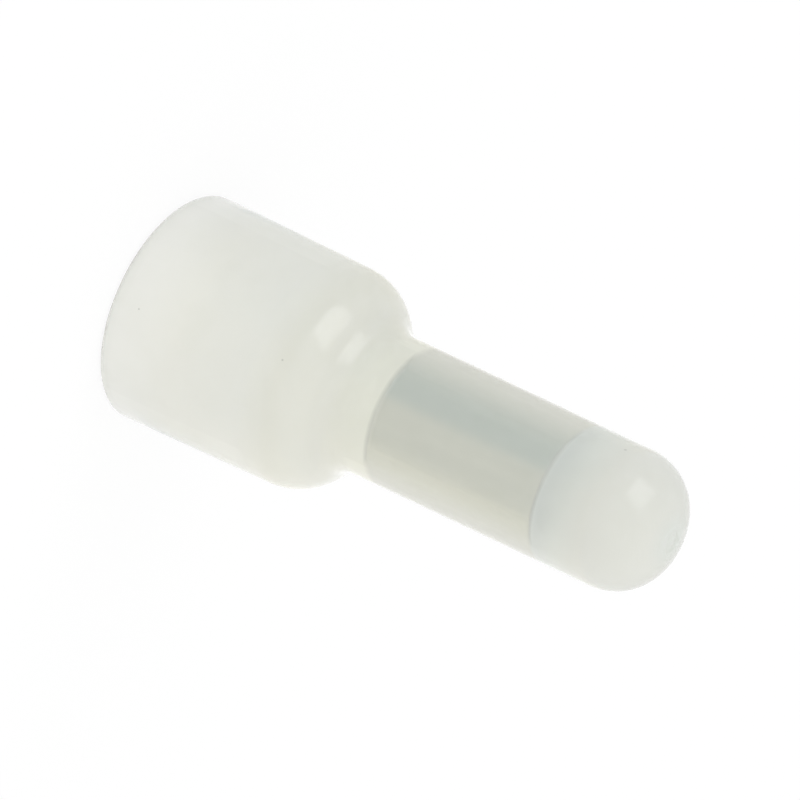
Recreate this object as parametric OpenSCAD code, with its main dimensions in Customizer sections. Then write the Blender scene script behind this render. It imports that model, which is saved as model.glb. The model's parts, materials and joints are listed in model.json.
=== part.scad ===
// Closed end splice connector: a nylon cap with a metal crimp sleeve held inside its barrel.
// The cap stands on its mouth. The origin is the centre of the mouth's rim, +Z runs along the axis to the closed
// end, and all sizes are in millimetres. Profiles are drawn as [radius, height] and turned about the axis.

/* [Skirt] */
// Outside diameter of the skirt at the mouth
mouth_d = 8.42; // [7.6:0.02:10]
// Draft of the skirt's outside, in degrees
skirt_draft = 0.7; // [0.25:0.05:1.5]
// Height of the skirt from the mouth to the start of the shoulder
skirt_len = 6.56; // [4.5:0.02:9]
// Wall of the skirt at the mouth
skirt_wall = 0.8; // [0.65:0.05:1.2]
// Draft of the cavity inside the skirt, in degrees
cavity_draft = 1; // [0.25:0.25:2]
// Round on the outer edge of the lip
lip_round = 0.38; // [0.1:0.02:0.6]
// Round on the inner edge of the lip
lip_inner_round = 0.15; // [0.04:0.01:0.38]

/* [Shoulder] */
// Round of the shoulder between the skirt and the barrel
shoulder_round = 2.1; // [1.7:0.05:2.8]
// Fillet where the shoulder runs into the barrel
shoulder_fillet = 1.3; // [0.3:0.05:1.8]

/* [Funnel] */
// How far the funnel starts below the shoulder
funnel_lead = 0.5; // [0.1:0.05:1]
// Height of the funnel, from the cavity up to the throat
funnel_len = 2; // [1.2:0.05:2.8]
// Round where the cavity turns into the funnel
funnel_round = 1; // [0.3:0.05:1.5]
// Round where the funnel turns into the throat
throat_round = 0.8; // [0.2:0.05:1.2]
// How far the throat stands clear of the sleeve's bore, all round
throat_step = 0.18; // [0.1:0.01:0.3]

/* [Barrel] */
// Wall of the barrel round the sleeve
barrel_wall = 0.48; // [0.3:0.02:0.9]
// Round of the barrel's edge at the closed end
tip_round = 2.1; // [1.2:0.05:2.4]
// Radius of the crown that closes the end
crown_r = 3.7; // [2.8:0.1:8]
// Wall between the pocket and the closed end, along the axis
tip_wall = 1.07; // [0.7:0.01:1.6]
// Diameter of the flat mark left by the moulding gate on the crown
gate_d = 1; // [0.6:0.05:1.4]

/* [Sleeve] */
// Outside diameter of the sleeve
sleeve_d = 4.2; // [3.4:0.05:5]
// Wall of the sleeve
sleeve_wall = 0.35; // [0.25:0.01:0.5]
// Length of the sleeve
sleeve_len = 7.1; // [5:0.1:10]
// Round on the sleeve's edges
sleeve_edge = 0.08; // [0.02:0.01:0.11]
// Distance from the start of the shoulder to the sleeve
sleeve_setback = 3.74; // [3.2:0.02:6]
// Gap between the sleeve and its seat, all round
seat_clearance = 0.02; // [0.01:0.005:0.05]
// Gap between the sleeve's outer end and the throat's ledge
end_clearance = 0.03; // [0.01:0.01:0.1]

/* [Pocket] */
// Depth of the pocket for the wire tips, past the sleeve
pocket_depth = 3.25; // [2.2:0.05:5]
// Taper of the pocket, which stops the sleeve, in degrees
pocket_taper = 15; // [8:0.5:16]

/* [Hidden] */

// Smoothness of the turned solids, and how far an arc's chords may lie from the true arc
turn_fn = 96;
arc_tolerance = 0.002;
nylon = [0.89, 0.89, 0.84];
tin = [0.66, 0.67, 0.66];

mouth_r = mouth_d / 2;
skirt_top_r = mouth_r - skirt_len * tan(skirt_draft);
sleeve_r = sleeve_d / 2;
bore_r = sleeve_r - sleeve_wall;
seat_r = sleeve_r + seat_clearance;
barrel_r = seat_r + barrel_wall;
throat_r = bore_r + throat_step;
gate_r = gate_d / 2;

// Heights along the axis, each from the one before it
funnel_z = skirt_len - funnel_lead;
throat_z = funnel_z + funnel_len;
sleeve_z = skirt_len + sleeve_setback;
stop_z = sleeve_z + sleeve_len;
pocket_z = stop_z + pocket_depth;
total_len = pocket_z + tip_wall;

// Radius of the pocket's round end, which touches the taper and the pocket's depth
pocket_r = (seat_r * cos(pocket_taper) - pocket_depth * sin(pocket_taper)) / (1 - sin(pocket_taper));

// Radius of the cavity at the mouth and where the funnel starts
cavity_mouth_r = mouth_r - skirt_wall;
cavity_top_r = cavity_mouth_r - funnel_z * tan(cavity_draft);

// Centres of the shoulder's round and of the fillet that touches it and the barrel
shoulder_c = [skirt_top_r - shoulder_round, skirt_len];
fillet_r = barrel_r + shoulder_fillet;
fillet_rise = sqrt(pow(shoulder_round + shoulder_fillet, 2) - pow(fillet_r - shoulder_c.x, 2));
fillet_c = [fillet_r, skirt_len + fillet_rise];
shoulder_turn = atan2(fillet_rise, fillet_r - shoulder_c.x);

// Centres of the crown and of the barrel's end round, which touch each other
gate_drop = crown_r - sqrt(pow(crown_r, 2) - pow(gate_r, 2));
crown_c = [0, total_len + gate_drop - crown_r];
tip_rise = sqrt(pow(crown_r - tip_round, 2) - pow(barrel_r - tip_round, 2));
tip_c = [barrel_r - tip_round, crown_c.y + tip_rise];
tip_turn = atan2(tip_rise, tip_c.x);
gate_turn = acos(gate_r / crown_r);

// Points on an arc about c, from angle a to angle b, ends included
function arc(c, r, a, b) =
    let (steps = ceil(abs(b - a) / (2 * acos(1 - arc_tolerance / r))))
    [
        for (i = [0 : steps])
            let (t = a + (b - a) * i / steps) c + r * [cos(t), sin(t)]
    ];

// Points on an arc of radius r that rounds the corner p between the lines from a and to b
function rounded(a, p, b, r) =
    let (
        u = (a - p) / norm(a - p),
        v = (b - p) / norm(b - p),
        half = acos(u * v) / 2,
        w = (u + v) / norm(u + v),
        c = p + w * r / sin(half),
        from = p + u * r / tan(half) - c,
        to = p + v * r / tan(half) - c,
        start = atan2(from.y, from.x),
        sweep = atan2(from.x * to.y - from.y * to.x, from * to)
    )
    arc(c, r, start, start + sweep);

// Outside of the cap, from the lip up to the closed end
cap_outside = concat(
    arc([mouth_r - lip_round, lip_round], lip_round, -90, 0),
    arc(shoulder_c, shoulder_round, 0, shoulder_turn),
    arc(fillet_c, shoulder_fillet, shoulder_turn + 180, 180),
    arc(tip_c, tip_round, 0, tip_turn),
    arc(crown_c, crown_r, tip_turn, gate_turn),
    [[0, total_len]]
);

// Inside of the cap, from the pocket's end down to the lip
cap_inside = concat(
    arc([0, pocket_z - pocket_r], pocket_r, 90, pocket_taper),
    [
        [seat_r, stop_z],
        [seat_r, sleeve_z - end_clearance],
        [throat_r, sleeve_z - end_clearance]
    ],
    rounded([throat_r, sleeve_z], [throat_r, throat_z], [cavity_top_r, funnel_z], throat_round),
    rounded([throat_r, throat_z], [cavity_top_r, funnel_z], [cavity_mouth_r, 0], funnel_round),
    rounded([cavity_top_r, funnel_z], [cavity_mouth_r, 0], [mouth_r, 0], lip_inner_round)
);

module insulating_cap() {
    color(nylon)
        rotate_extrude($fn = turn_fn)
            polygon(concat(cap_outside, cap_inside));
}

module crimp_sleeve() {
    in_r = bore_r + sleeve_edge;
    out_r = sleeve_r - sleeve_edge;
    low = sleeve_z + sleeve_edge;
    high = stop_z - sleeve_edge;
    color(tin)
        rotate_extrude($fn = turn_fn)
            polygon(concat(
                arc([in_r, low], sleeve_edge, 180, 270),
                arc([out_r, low], sleeve_edge, 270, 360),
                arc([out_r, high], sleeve_edge, 0, 90),
                arc([in_r, high], sleeve_edge, 90, 180)
            ));
}

insulating_cap();
crimp_sleeve();
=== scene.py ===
"""Closed end splice connector: the looks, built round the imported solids.

The cap stands on its mouth, with its axis along +Z. Both pieces are turned again from fine profiles, so
that the nylon bends light smoothly. Sizes are in metres. The main ones come from the frame and its record,
and the others repeat the solids' own.
"""
import json
import math

import bpy
from mathutils import Matrix, Quaternion, Vector


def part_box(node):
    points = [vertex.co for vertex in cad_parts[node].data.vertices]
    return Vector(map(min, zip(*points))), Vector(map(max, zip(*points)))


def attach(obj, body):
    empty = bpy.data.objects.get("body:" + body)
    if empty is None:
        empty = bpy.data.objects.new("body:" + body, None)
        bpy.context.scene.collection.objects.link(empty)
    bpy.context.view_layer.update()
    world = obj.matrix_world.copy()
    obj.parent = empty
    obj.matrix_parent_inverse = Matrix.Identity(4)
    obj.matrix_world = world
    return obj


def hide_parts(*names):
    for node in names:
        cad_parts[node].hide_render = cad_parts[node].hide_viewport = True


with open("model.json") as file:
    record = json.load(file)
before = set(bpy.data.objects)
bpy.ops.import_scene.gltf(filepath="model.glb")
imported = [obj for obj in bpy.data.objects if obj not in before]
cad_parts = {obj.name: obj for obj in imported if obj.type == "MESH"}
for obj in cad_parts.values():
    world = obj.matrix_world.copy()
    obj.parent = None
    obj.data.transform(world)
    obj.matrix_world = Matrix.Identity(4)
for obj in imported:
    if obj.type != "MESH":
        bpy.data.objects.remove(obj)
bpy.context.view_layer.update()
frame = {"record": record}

MM = 0.001

# Sizes from the frame
CAP_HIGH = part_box("insulating_cap")[1]
SLEEVE_LOW, SLEEVE_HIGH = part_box("crimp_sleeve")
MOUNTS = {m["name"]: m for m in frame["record"]["mounts"]}
MOUTH_R = CAP_HIGH.x
LENGTH = CAP_HIGH.z
SLEEVE_R = SLEEVE_HIGH.x
SLEEVE_Z = SLEEVE_LOW.z
STOP_Z = SLEEVE_HIGH.z
BORE_R = MOUNTS["sleeve_bore"]["dims"]["r_mm"] * MM
BARREL_R = MOUNTS["crimp_barrel"]["dims"]["r_mm"] * MM

# The cap's outside. The gate's scar is a shallow ring round a short nib, level with the crown
SKIRT_LEN = 6.56 * MM
SKIRT_DRAFT = math.radians(0.7)
LIP_ROUND = 0.38 * MM
SHOULDER_ROUND = 2.1 * MM
SHOULDER_FILLET = 1.3 * MM
TIP_ROUND = 2.1 * MM
CROWN_R = 3.7 * MM
GATE_R = 0.5 * MM
GATE_RIM = 0.12 * MM
GATE_NIB_R = 0.2 * MM
GATE_DEPTH = 0.02 * MM

# The cap's inside. The seat grips the sleeve, so that no film of air parts the nylon from the metal
SKIRT_WALL = 0.8 * MM
LIP_INNER_ROUND = 0.15 * MM
CAVITY_DRAFT = math.radians(1.0)
FUNNEL_LEAD = 0.5 * MM
FUNNEL_LEN = 2.0 * MM
FUNNEL_ROUND = 1.0 * MM
THROAT_ROUND = 0.8 * MM
THROAT_STEP = 0.18 * MM
SEAT_GRIP = 0.03 * MM
TIP_WALL = 1.07 * MM
POCKET_TAPER = math.radians(15)

# The sleeve's edges
SLEEVE_EDGE = 0.08 * MM

# Nylon: colour, then the clear share, which passes light unscattered
# The rim: a painted shade, greyer on the lip's rounded edge by the floor
RIM_PAINTED_SHADE = (0.76, 0.765, 0.728, 0.22)
LIP_LOOK = (0.786, 0.786, 0.75, 0.22)
SKIRT_LOOK = (0.78, 0.779, 0.728, 0.21)
SKIRT_TOP_LOOK = (0.777, 0.781, 0.737, 0.23)
SHOULDER_LOOK = (0.694, 0.696, 0.638, 0.08)
NECK_LOOK = (0.778, 0.783, 0.709, 0.26)
# The barrel: the nylon's cream, darkened as painted shade of the sleeve behind the haze
BARREL_TONE_AND_SHADE = (0.63, 0.632, 0.585, 0.58)
# The end and the patch: painted shade, grey-green where the sleeve's end and the pocket behind show through
# the wall
END_PAINTED_SHADE = (0.672, 0.70, 0.674, 0.23)
PATCH_PAINTED_SHADE = (0.678, 0.70, 0.66, 0.17)
# The tip: the cream of thick nylon, darkened as painted shade where little light gets into the closed end
TIP_TONE_AND_SHADE = (0.668, 0.673, 0.627, 0.055)
GATE_LOOK = (0.645, 0.665, 0.625, 0.055)

# Nylon along the axis: height and look, the nylon's own tones with painted shade at the rim, over the
# sleeve, past its end and at the tip. The clear share is low where the wall is thick. The ramp's new stops
# start at its middle and are then moved
NEW_STOP = 0.5
NYLON_TONES_AND_SHADE = [
    (0.05 * MM, LIP_LOOK),
    (0.15 * MM, RIM_PAINTED_SHADE),
    (0.4 * MM, RIM_PAINTED_SHADE),
    (0.6 * MM, LIP_LOOK),
    (3.0 * MM, SKIRT_LOOK),
    (6.0 * MM, SKIRT_TOP_LOOK),
    (7.2 * MM, SHOULDER_LOOK),
    (8.6 * MM, SHOULDER_LOOK),
    (9.7 * MM, NECK_LOOK),
    (10.35 * MM, NECK_LOOK),
    (10.64 * MM, BARREL_TONE_AND_SHADE),
    (17.5 * MM, BARREL_TONE_AND_SHADE),
    (17.6 * MM, END_PAINTED_SHADE),
    (18.5 * MM, PATCH_PAINTED_SHADE),
    (19.6 * MM, TIP_TONE_AND_SHADE),
    (21.6 * MM, TIP_TONE_AND_SHADE),
    (21.7 * MM, GATE_LOOK),
]
NYLON_IOR = 1.53
WAY_OUT_COLOUR = (0.9, 0.92, 1.0, 1)
SCATTER_LENGTH = 0.2 * MM
SCATTER_COLOUR = (1.0, 1.0, 1.0)

# The most that passes clear where light meets the skin at a slant, 0 being face on and 1 edge on: the
# first share up to the first slant, falling to the second share at the second
SLANT = (0.24, 0.54)
SLANT_CLEAR = (0.62, 0.2)

# Nylon inside the cap, partly milky to a look into the mouth
INSIDE_COLOUR = (0.95, 0.95, 0.88, 1)
INSIDE_ROUGHNESS = 0.6
INSIDE_CLEAR = 0.6

# Noise: how detailed it is, its middle, and the part of its range that a finish spans
SOFT_DETAIL = 2.0
FINE_DETAIL = 3.0
NOISE_MIDDLE = 0.5
NOISE_SPAN = (0.3, 0.7)

# Clouds in the nylon, and the satin of its skin
CLOUD_SIZE = 2.2 * MM
CLOUD_TINT = 0.3
CLOUD_COLOUR = (0.62, 0.64, 0.54, 1)
CLOUD_HAZE = 0.12
SATIN_SIZE = 0.12 * MM
SATIN_DEPTH = 0.0015 * MM
SATIN_ROUGHNESS = (0.06, 0.1)

# Specks in the nylon: place and radius
SPECKS = [
    ((0.595 * MM, -4.152 * MM, 1.216 * MM), 0.04 * MM),
    ((0.066 * MM, -4.055 * MM, 7.114 * MM), 0.045 * MM),
    ((-2.187 * MM, -1.406 * MM, 19.32 * MM), 0.07 * MM),
]
SPECK_COLOUR = (0.52, 0.53, 0.49, 1)

# Tin, drawn along the axis, and its cut ends
TIN_COLOUR = (0.918, 0.955, 0.932, 1)
TIN_DARK = (0.829, 0.866, 0.844, 1)
TIN_ROUGHNESS = (0.18, 0.26)
DRAW_WIDTH = 0.06 * MM
DRAW_LENGTH = 3.0 * MM
DRAW_DEPTH = 0.001 * MM
CUT_COLOUR = (0.8, 0.815, 0.8, 1)
CUT_ROUGHNESS = 0.6

# Light: the world's levels and where its bright side lies, the key lamp, and the floor. Directions are in
# the picture's right, up and towards
WHITE = (1, 1, 1, 1)
WHITE_STRENGTH = 1.0
WORLD_DIM = (0.32, 0.346, 0.375, 1)
WORLD_BRIGHT = (1.305, 1.3, 1.287, 1)
WORLD_FROM = (0.18, -1.02, 0.62)
KEY_RADIANCE = 1.33
KEY_SIZE = 0.43
KEY_ROLL = math.radians(20)
KEY_DISTANCE = 0.6
KEY_FROM = (0.643, 0.464, 0.609)
FLOOR_SIZE = 3.0
FLOOR_DROP = 0.01 * MM
FLOOR_COLOUR = (0.9, 0.9, 0.9, 1)
FLOOR_GLOW = 0.9

# The glowing bowl of card that the metal mirrors, whose colours paint its reflections: the radii and
# heights of its rings, the height that its foot's colour goes up to, and the colours above that by the turn
# from the camera's side, in degrees
CARD_RINGS = [(5.5 * MM, 0.02 * MM), (9.7 * MM, 4 * MM), (19 * MM, 13 * MM)]
CARD_STEPS = 120
CARD_FOOT = 1 * MM
CARD_FOOT_COLOUR = Vector((0.85, 0.88, 0.89))
CARD_WHITE = Vector((1.2, 1.205, 1.22))
CARD_STRAW = Vector((1.06, 1.0, 0.83))
CARD_PALE = Vector((0.92, 0.89, 0.80))
CARD_OLIVE = Vector((0.785, 0.768, 0.67))
CARD_TEAL = Vector((0.58, 0.64, 0.60))
CARD_COLOURS = [
    (-180, CARD_WHITE),
    (-164, CARD_WHITE),
    (-92, CARD_STRAW),
    (-52, CARD_OLIVE),
    (8, CARD_OLIVE),
    (21, CARD_TEAL),
    (52, CARD_TEAL),
    (132, CARD_PALE),
    (164, CARD_WHITE),
    (180, CARD_WHITE),
]

# Fineness of the turned meshes
TURN_STEPS = 192
ARC_STEP = math.radians(4)
ARC_STEPS_LEAST = 3
LINE_STEP = 0.6 * MM
SHARP_ANGLE = math.radians(25)
TINY = 1e-7

# The photograph's view: how far the axis leans towards the camera, how far it falls to the right in the
# picture, how far away the camera is, and in pixels the barrel's radius and the centre of the mouth
AXIS_LEAN = math.radians(27.31)
AXIS_FALL = math.radians(25.27)
CAMERA_DISTANCE = 0.8667
CAMERA_CLIP = (0.01, 10.0)
PICTURE = 800
BARREL_PIXELS = 74.36
PIXELS_PER_M = BARREL_PIXELS / BARREL_R
MOUTH_PIXEL = (168.84, 304.15)
SENSOR = 36.0


def arc(centre, radius, start, end):
    """Points (radius, height) on an arc, ends included."""
    steps = max(ARC_STEPS_LEAST, math.ceil(abs(end - start) / ARC_STEP))
    turns = [start + (end - start) * i / steps for i in range(steps + 1)]
    return [(centre[0] + radius * math.cos(t), centre[1] + radius * math.sin(t)) for t in turns]


def rounded(before, corner, after, radius):
    """Points on an arc that rounds a corner between two straight lines."""
    p = Vector(corner)
    u = (Vector(before) - p).normalized()
    v = (Vector(after) - p).normalized()
    half = u.angle(v) / 2
    centre = p + (u + v).normalized() * (radius / math.sin(half))
    first = p + u * (radius / math.tan(half)) - centre
    last = p + v * (radius / math.tan(half)) - centre
    start = math.atan2(first.y, first.x)
    sweep = math.atan2(first.x * last.y - first.y * last.x, first.dot(last))
    return arc(centre, radius, start, start + sweep)


def filled_in(profile):
    """The profile without repeated points, and with its long straight lines cut into short ones."""
    points = [profile[0]]
    for b in profile[1:]:
        a = points[-1]
        length = math.dist(a, b)
        if length < TINY:
            continue
        cuts = max(1, math.ceil(length / LINE_STEP))
        for i in range(1, cuts + 1):
            points.append((a[0] + (b[0] - a[0]) * i / cuts, a[1] + (b[1] - a[1]) * i / cuts))
    return points


def add_object(name, data):
    """A new object in the scene."""
    obj = bpy.data.objects.new(name, data)
    bpy.context.scene.collection.objects.link(obj)
    return obj


def new_mesh(name, verts, faces):
    """A mesh of given corners and faces."""
    mesh = bpy.data.meshes.new(name)
    mesh.from_pydata(verts, [], faces)
    return mesh


def turned(name, profile, closed):
    """A mesh turned about Z from a profile of (radius, height) that keeps the solid on its right.

    The profile is a closed loop, or runs from axis to axis."""
    rings, verts = [], []
    turns = [2 * math.pi * k / TURN_STEPS for k in range(TURN_STEPS)]
    for r, z in profile:
        if r < TINY:
            rings.append([len(verts)] * TURN_STEPS)
            verts.append((0.0, 0.0, z))
            continue
        rings.append([len(verts) + k for k in range(TURN_STEPS)])
        verts += [(r * math.cos(t), r * math.sin(t), z) for t in turns]
    faces = []
    for high, low in zip(rings, rings[1:] + rings[:1] if closed else rings[1:]):
        for k in range(TURN_STEPS):
            n = (k + 1) % TURN_STEPS
            faces.append(tuple(dict.fromkeys((high[k], low[k], low[n], high[n]))))
    mesh = new_mesh(name, verts, faces)
    mesh.shade_smooth()
    mesh.set_sharp_from_angle(angle=SHARP_ANGLE)
    return add_object(name, mesh)


def gate_scar():
    """The gate's section, from the axis out to the crown."""
    floor = LENGTH - GATE_DEPTH
    return [
        (0.0, LENGTH),
        (GATE_NIB_R - GATE_RIM, LENGTH),
        (GATE_NIB_R, floor),
        (GATE_R - GATE_RIM, floor),
        (GATE_R, LENGTH),
    ]


def cap_outside():
    """The cap's outer section, from the closed end's middle down to the lip."""
    skirt_top_r = MOUTH_R - SKIRT_LEN * math.tan(SKIRT_DRAFT)
    shoulder = (skirt_top_r - SHOULDER_ROUND, SKIRT_LEN)
    fillet_r = BARREL_R + SHOULDER_FILLET
    fillet_rise = math.sqrt((SHOULDER_ROUND + SHOULDER_FILLET) ** 2 - (fillet_r - shoulder[0]) ** 2)
    fillet = (fillet_r, SKIRT_LEN + fillet_rise)
    shoulder_turn = math.atan2(fillet_rise, fillet_r - shoulder[0])
    crown_z = LENGTH - math.sqrt(CROWN_R ** 2 - GATE_R ** 2)
    tip_rise = math.sqrt((CROWN_R - TIP_ROUND) ** 2 - (BARREL_R - TIP_ROUND) ** 2)
    tip = (BARREL_R - TIP_ROUND, crown_z + tip_rise)
    tip_turn = math.atan2(tip_rise, tip[0])
    gate_turn = math.acos(GATE_R / CROWN_R)
    return filled_in([
        *gate_scar(),
        *arc((0.0, crown_z), CROWN_R, gate_turn, tip_turn),
        *arc(tip, TIP_ROUND, tip_turn, 0),
        *arc(fillet, SHOULDER_FILLET, math.pi, math.pi + shoulder_turn),
        *arc(shoulder, SHOULDER_ROUND, shoulder_turn, 0),
        *arc((MOUTH_R - LIP_ROUND, LIP_ROUND), LIP_ROUND, 0, -math.pi / 2),
    ])


def cap_inside():
    """The cap's inner section, from the lip up to the pocket's end."""
    funnel_z = SKIRT_LEN - FUNNEL_LEAD
    throat_z = funnel_z + FUNNEL_LEN
    throat_r = BORE_R + THROAT_STEP
    seat_r = SLEEVE_R - SEAT_GRIP
    seat_z = SLEEVE_Z + SEAT_GRIP
    pocket_z = LENGTH - TIP_WALL
    slope = math.sin(POCKET_TAPER)
    pocket_r = (seat_r * math.cos(POCKET_TAPER) - (pocket_z - STOP_Z) * slope) / (1 - slope)
    lip = (MOUTH_R - SKIRT_WALL, 0.0)
    cavity = (lip[0] - funnel_z * math.tan(CAVITY_DRAFT), funnel_z)
    throat = (throat_r, throat_z)
    return filled_in([
        *rounded((MOUTH_R, 0.0), lip, cavity, LIP_INNER_ROUND),
        *rounded(lip, cavity, throat, FUNNEL_ROUND),
        *rounded(cavity, throat, (throat_r, seat_z), THROAT_ROUND),
        (throat_r, seat_z),
        (seat_r, seat_z),
        (seat_r, STOP_Z),
        *arc((0.0, pocket_z - pocket_r), pocket_r, POCKET_TAPER, math.pi / 2)[:-1],
        (0.0, pocket_z),
    ])


def sleeve_profile():
    """The sleeve's section: a tube's wall with eased edges, from the outer edge of its upper end."""
    inner = BORE_R + SLEEVE_EDGE
    outer = SLEEVE_R - SLEEVE_EDGE
    low = SLEEVE_Z + SLEEVE_EDGE
    high = STOP_Z - SLEEVE_EDGE
    quarter = math.pi / 2
    corners = [
        *arc((outer, high), SLEEVE_EDGE, quarter, 0),
        *arc((outer, low), SLEEVE_EDGE, 0, -quarter),
        *arc((inner, low), SLEEVE_EDGE, -quarter, -2 * quarter),
        *arc((inner, high), SLEEVE_EDGE, 2 * quarter, quarter),
    ]
    return filled_in(corners + corners[:1])[:-1]


def new_material(name):
    """An empty node material with its tree and its output's surface socket."""
    material = bpy.data.materials.new(name)
    material.use_nodes = True
    tree = material.node_tree
    tree.nodes.clear()
    output = tree.nodes.new("ShaderNodeOutputMaterial")
    return material, tree, output.inputs["Surface"]


def feed(tree, socket, value):
    """Links a socket's source to it, or sets its number."""
    if isinstance(value, bpy.types.NodeSocket):
        tree.links.new(value, socket)
    else:
        socket.default_value = value


def math_node(tree, operation, first, second):
    """The output of a Math node."""
    node = tree.nodes.new("ShaderNodeMath")
    node.operation = operation
    feed(tree, node.inputs[0], first)
    feed(tree, node.inputs[1], second)
    return node.outputs["Value"]


def vector_value(tree, operation, place, point):
    """The value that a Vector Math node gives for a place and a fixed point or direction."""
    node = tree.nodes.new("ShaderNodeVectorMath")
    node.operation = operation
    tree.links.new(place, node.inputs[0])
    node.inputs[1].default_value = point
    return node.outputs["Value"]


def ranged(tree, value, start, end, low=0.0, high=1.0):
    """The output of a Map Range node, held within its ends."""
    node = tree.nodes.new("ShaderNodeMapRange")
    feed(tree, node.inputs["Value"], value)
    node.inputs["From Min"].default_value = start
    node.inputs["From Max"].default_value = end
    node.inputs["To Min"].default_value = low
    node.inputs["To Max"].default_value = high
    return node.outputs["Result"]


def blended(tree, share, first, second):
    """The output of a colour Mix node."""
    node = tree.nodes.new("ShaderNodeMix")
    node.data_type = "RGBA"
    factor, a, b = (s for s in node.inputs if s.identifier in ("Factor_Float", "A_Color", "B_Color"))
    feed(tree, factor, share)
    feed(tree, a, first)
    feed(tree, b, second)
    return next(s for s in node.outputs if s.identifier == "Result_Color")


def ramped(tree, share):
    """The nylon's colour, with its painted shade, and clear share along the axis."""
    node = tree.nodes.new("ShaderNodeValToRGB")
    stops = node.color_ramp.elements
    while len(stops) < len(NYLON_TONES_AND_SHADE):
        stops.new(NEW_STOP)
    for stop, (height, look) in zip(stops, NYLON_TONES_AND_SHADE):
        stop.position = height / LENGTH
        stop.color = look
    tree.links.new(share, node.inputs["Fac"])
    return node.outputs["Color"], node.outputs["Alpha"]


def noise(tree, place, size, detail):
    """The output of a Noise node whose features have a given size."""
    node = tree.nodes.new("ShaderNodeTexNoise")
    node.inputs["Scale"].default_value = 1 / size
    node.inputs["Detail"].default_value = detail
    tree.links.new(place, node.inputs["Vector"])
    return node.outputs["Fac"]


def bumped(tree, height, depth):
    """The normal that a height field of a given depth gives."""
    node = tree.nodes.new("ShaderNodeBump")
    node.inputs["Distance"].default_value = depth
    tree.links.new(height, node.inputs["Height"])
    return node.outputs["Normal"]


def from_behind(tree):
    """1 where a ray meets the back of a surface, as light that leaves a solid does, and 0 elsewhere."""
    return tree.nodes.new("ShaderNodeNewGeometry").outputs["Backfacing"]


def milky_shader(tree):
    """A Principled shader that bends and scatters light as nylon does."""
    shader = tree.nodes.new("ShaderNodeBsdfPrincipled")
    shader.inputs["IOR"].default_value = NYLON_IOR
    shader.inputs["Subsurface Weight"].default_value = 1.0
    shader.inputs["Subsurface Radius"].default_value = SCATTER_COLOUR
    shader.inputs["Subsurface Scale"].default_value = SCATTER_LENGTH
    return shader


def natural_nylon():
    """Milky nylon: its haze scatters part of the light, and the rest passes through."""
    material, tree, surface = new_material("natural_nylon")
    shader = milky_shader(tree)
    place = tree.nodes.new("ShaderNodeTexCoord").outputs["Object"]
    apart = tree.nodes.new("ShaderNodeSeparateXYZ")
    tree.links.new(place, apart.inputs["Vector"])
    # The colour along the axis carries painted shade at the rim, over the sleeve, past its end and at the
    # tip
    colour, clear = ramped(tree, ranged(tree, apart.outputs["Z"], 0.0, LENGTH))
    cloud = math_node(tree, "SUBTRACT", noise(tree, place, CLOUD_SIZE, SOFT_DETAIL), NOISE_MIDDLE)

    # Haze: cloudy, and thicker at a slant. All of it lies on the way in, and light that leaves is let out
    patchy = math_node(tree, "MULTIPLY", clear, math_node(tree, "MULTIPLY", cloud, CLOUD_HAZE))
    clear = math_node(tree, "ADD", clear, patchy)
    slant = tree.nodes.new("ShaderNodeLayerWeight").outputs["Facing"]
    clear = math_node(tree, "MINIMUM", clear, ranged(tree, slant, *SLANT, *SLANT_CLEAR))
    leaving = from_behind(tree)
    feed(tree, shader.inputs["Transmission Weight"], math_node(tree, "MAXIMUM", clear, leaving))

    # Clouds and specks in the colour
    colour = blended(tree, math_node(tree, "MULTIPLY", cloud, CLOUD_TINT), colour, CLOUD_COLOUR)
    for point, radius in SPECKS:
        away = vector_value(tree, "DISTANCE", place, point)
        colour = blended(tree, ranged(tree, away, radius, radius / 2), colour, SPECK_COLOUR)
    feed(tree, shader.inputs["Base Color"], blended(tree, leaving, colour, WAY_OUT_COLOUR))

    # Satin skin
    satin = noise(tree, place, SATIN_SIZE, FINE_DETAIL)
    feed(tree, shader.inputs["Roughness"], ranged(tree, satin, *NOISE_SPAN, *SATIN_ROUGHNESS))
    feed(tree, shader.inputs["Normal"], bumped(tree, satin, SATIN_DEPTH))
    tree.links.new(shader.outputs["BSDF"], surface)
    return material


def nylon_inside():
    """The dull surface that the mould's core leaves. Light that leaves the nylon there is let out."""
    material, tree, surface = new_material("nylon_inside")
    shader = milky_shader(tree)
    shader.inputs["Base Color"].default_value = INSIDE_COLOUR
    shader.inputs["Roughness"].default_value = INSIDE_ROUGHNESS
    clear = ranged(tree, from_behind(tree), 0.0, 1.0, INSIDE_CLEAR, 1.0)
    feed(tree, shader.inputs["Transmission Weight"], clear)
    tree.links.new(shader.outputs["BSDF"], surface)
    return material


def tinned_copper():
    """Satin tin plate, with faint lines from the drawing of the tube."""
    material, tree, surface = new_material("tinned_copper")
    shader = tree.nodes.new("ShaderNodeBsdfPrincipled")
    shader.inputs["Metallic"].default_value = 1.0
    place = tree.nodes.new("ShaderNodeMapping")
    place.inputs["Scale"].default_value = (1.0, 1.0, DRAW_WIDTH / DRAW_LENGTH)
    tree.links.new(tree.nodes.new("ShaderNodeTexCoord").outputs["Object"], place.inputs["Vector"])
    lines = noise(tree, place.outputs["Vector"], DRAW_WIDTH, FINE_DETAIL)
    colour = blended(tree, ranged(tree, lines, *NOISE_SPAN), TIN_COLOUR, TIN_DARK)
    feed(tree, shader.inputs["Base Color"], colour)
    feed(tree, shader.inputs["Roughness"], ranged(tree, lines, *NOISE_SPAN, *TIN_ROUGHNESS))
    feed(tree, shader.inputs["Normal"], bumped(tree, lines, DRAW_DEPTH))
    tree.links.new(shader.outputs["BSDF"], surface)
    return material


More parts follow.
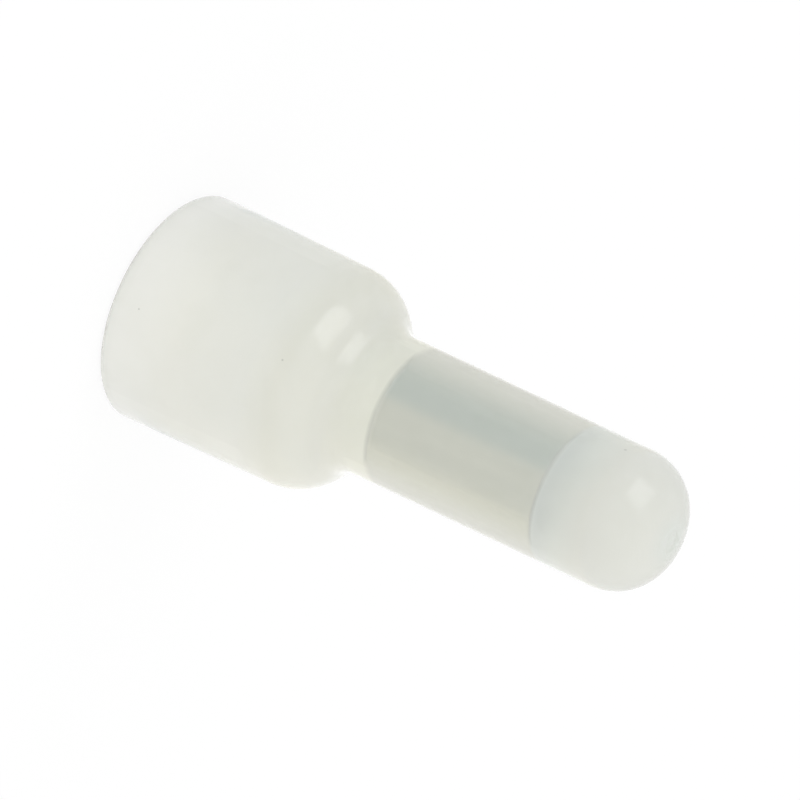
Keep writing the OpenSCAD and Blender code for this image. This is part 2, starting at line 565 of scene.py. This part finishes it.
def cut_tin():
    """The duller metal of the sleeve's cut ends."""
    material, tree, surface = new_material("tin_cut")
    shader = tree.nodes.new("ShaderNodeBsdfPrincipled")
    shader.inputs["Base Color"].default_value = CUT_COLOUR
    shader.inputs["Metallic"].default_value = 1.0
    shader.inputs["Roughness"].default_value = CUT_ROUGHNESS
    tree.links.new(shader.outputs["BSDF"], surface)
    return material


def stand_for(piece, node, materials):
    """Gives a piece its finishes and puts it in a solid's place."""
    for material in materials:
        piece.data.materials.append(material)
    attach(piece, "root")
    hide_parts(node)


def add_cap():
    """The cap, satin outside and dull inside."""
    outside, inside = cap_outside(), cap_inside()
    cap = turned("cap_body", outside + inside, closed=False)
    stand_for(cap, "insulating_cap", [natural_nylon(), nylon_inside()])
    for face in cap.data.polygons:
        face.material_index = int(face.index // TURN_STEPS >= len(outside))


def add_sleeve():
    """The sleeve, plated outside and in its bore, and duller on its ends."""
    profile = sleeve_profile()
    sleeve = turned("sleeve_tube", profile, closed=True)
    stand_for(sleeve, "crimp_sleeve", [tinned_copper(), cut_tin()])
    plated = [abs(a[0] - b[0]) < TINY for a, b in zip(profile, profile[1:] + profile[:1])]
    for face in sleeve.data.polygons:
        face.material_index = int(not plated[face.index // TURN_STEPS])


def camera_axes():
    """The picture's right, up and towards directions in the frame, for a camera on the -Y side."""
    near = Vector((0, -1, 0))
    axis = Vector((0, 0, 1))
    towards = near * math.cos(AXIS_LEAN) + axis * math.sin(AXIS_LEAN)
    along = axis * math.cos(AXIS_LEAN) - near * math.sin(AXIS_LEAN)
    across = along.cross(towards)
    right = along * math.cos(AXIS_FALL) - across * math.sin(AXIS_FALL)
    up = -along * math.sin(AXIS_FALL) - across * math.cos(AXIS_FALL)
    return right, up, towards


def in_frame(direction):
    """The frame's direction for one given in the picture's right, up and towards."""
    return sum((axis * share for axis, share in zip(camera_axes(), direction)), Vector()).normalized()


def add_camera():
    """The photograph's camera, placed so that the mouth's centre falls on its pixel."""
    right, up, towards = camera_axes()
    left_by = (PICTURE / 2 - MOUTH_PIXEL[0]) / PIXELS_PER_M
    above_by = (PICTURE / 2 - MOUTH_PIXEL[1]) / PIXELS_PER_M
    data = bpy.data.cameras.new("camera")
    data.sensor_width = SENSOR
    data.lens = PIXELS_PER_M * CAMERA_DISTANCE * SENSOR / PICTURE
    data.clip_start, data.clip_end = CAMERA_CLIP
    camera = add_object("camera", data)
    place = right * left_by - up * above_by + towards * CAMERA_DISTANCE
    turn = Matrix((right, up, towards)).transposed().to_4x4()
    camera.matrix_world = Matrix.Translation(place) @ turn
    bpy.context.scene.camera = camera


def seen_share(tree, direct=1.0):
    """1 on rays that mirror or look through to a surface, the direct share on the camera's own, and 0 on
    the rays that only light it."""
    path = tree.nodes.new("ShaderNodeLightPath")
    glossy = path.outputs["Is Glossy Ray"]
    through = path.outputs["Is Transmission Ray"]
    mirrored = math_node(tree, "MAXIMUM", glossy, through)
    seen = math_node(tree, "MULTIPLY", path.outputs["Is Camera Ray"], direct)
    return math_node(tree, "MAXIMUM", seen, mirrored)


def mixed_shaders(tree, share, first, second):
    """The output of a mix of two shaders."""
    mix = tree.nodes.new("ShaderNodeMixShader")
    tree.links.new(share, mix.inputs["Fac"])
    tree.links.new(first, mix.inputs[1])
    tree.links.new(second, mix.inputs[2])
    return mix.outputs["Shader"]


def add_world():
    """White for what is seen, mirrored or seen through the nylon; as light, brighter from one side."""
    world = bpy.data.worlds.new("studio")
    world.use_nodes = True
    bpy.context.scene.world = world
    tree = world.node_tree
    tree.nodes.clear()
    output = tree.nodes.new("ShaderNodeOutputWorld")
    white = tree.nodes.new("ShaderNodeBackground")
    white.inputs["Color"].default_value = WHITE
    white.inputs["Strength"].default_value = WHITE_STRENGTH
    light = tree.nodes.new("ShaderNodeBackground")
    direction = tree.nodes.new("ShaderNodeTexCoord").outputs["Generated"]
    side = vector_value(tree, "DOT_PRODUCT", direction, in_frame(WORLD_FROM))
    level = blended(tree, ranged(tree, side, -1.0, 1.0), WORLD_DIM, WORLD_BRIGHT)
    feed(tree, light.inputs["Color"], level)
    studio = mixed_shaders(tree, seen_share(tree), light.outputs["Background"], white.outputs["Background"])
    tree.links.new(studio, output.inputs["Surface"])


def add_floor():
    """A white floor that keeps a faint shadow, and hides nothing from underneath."""
    half = FLOOR_SIZE / 2
    corners = [(-half, -half), (half, -half), (half, half), (-half, half)]
    mesh = new_mesh("floor", [(x, y, -FLOOR_DROP) for x, y in corners], [(0, 1, 2, 3)])
    floor = add_object("floor", mesh)
    material, tree, surface = new_material("floor_white")
    diffuse = tree.nodes.new("ShaderNodeBsdfDiffuse")
    diffuse.inputs["Color"].default_value = FLOOR_COLOUR
    glow = tree.nodes.new("ShaderNodeEmission")
    glow.inputs["Color"].default_value = WHITE
    glow.inputs["Strength"].default_value = WHITE_STRENGTH
    seen = seen_share(tree, FLOOR_GLOW)
    top = mixed_shaders(tree, seen, diffuse.outputs["BSDF"], glow.outputs["Emission"])
    clear = tree.nodes.new("ShaderNodeBsdfTransparent")
    tree.links.new(mixed_shaders(tree, from_behind(tree), top, clear.outputs["BSDF"]), surface)
    mesh.materials.append(material)


def card_colour(degrees):
    """The card's colour at a turn from the camera's side, between the two nearest of its given colours."""
    for (a, first), (b, second) in zip(CARD_COLOURS, CARD_COLOURS[1:]):
        if degrees <= b:
            return first.lerp(second, (degrees - a) / (b - a))
    return CARD_COLOURS[-1][1]


def add_card():
    """A glowing bowl round the part that only gloss and clear plastic show, painting their reflections: dim
    in front, bright behind.
    """
    verts, faces, colours = [], [], []
    for r, z in CARD_RINGS:
        for i in range(CARD_STEPS):
            degrees = -180 + 360 * i / CARD_STEPS
            turn = math.radians(degrees)
            verts.append((-r * math.sin(turn), -r * math.cos(turn), z))
            colours += [*(card_colour(degrees) if z > CARD_FOOT else CARD_FOOT_COLOUR), 1.0]
    for k in range((len(CARD_RINGS) - 1) * CARD_STEPS):
        n = k + 1 if (k + 1) % CARD_STEPS else k + 1 - CARD_STEPS
        faces.append((k, n, n + CARD_STEPS, k + CARD_STEPS))
    mesh = new_mesh("bowl_card", verts, faces)
    card = add_object("bowl_card", mesh)
    mesh.attributes.new("shade", "FLOAT_COLOR", "POINT").data.foreach_set("color", colours)
    # The card glows in its painted colours, so that the metal and the nylon show them as reflections
    material, tree, surface = new_material("card_glow")
    shade = tree.nodes.new("ShaderNodeAttribute")
    shade.attribute_name = "shade"
    glow = tree.nodes.new("ShaderNodeEmission")
    tree.links.new(shade.outputs["Color"], glow.inputs["Color"])
    tree.links.new(glow.outputs["Emission"], surface)
    mesh.materials.append(material)
    card.visible_camera = False
    card.visible_diffuse = False
    card.visible_shadow = False


def add_key():
    """A square softbox that faces the part's middle."""
    data = bpy.data.lights.new("key", "AREA")
    data.shape = "SQUARE"
    data.size = KEY_SIZE
    data.energy = KEY_RADIANCE * math.pi * KEY_SIZE ** 2
    light = add_object("key", data)
    direction = in_frame(KEY_FROM)
    light.location = Vector((0, 0, LENGTH / 2)) + direction * KEY_DISTANCE
    turn = direction.to_track_quat("Z", "Y") @ Quaternion((0, 0, 1), KEY_ROLL)
    light.rotation_euler = turn.to_euler()


bpy.context.scene.view_settings.view_transform = "Standard"
add_cap()
add_sleeve()
add_camera()
add_world()
add_floor()
add_card()
add_key()
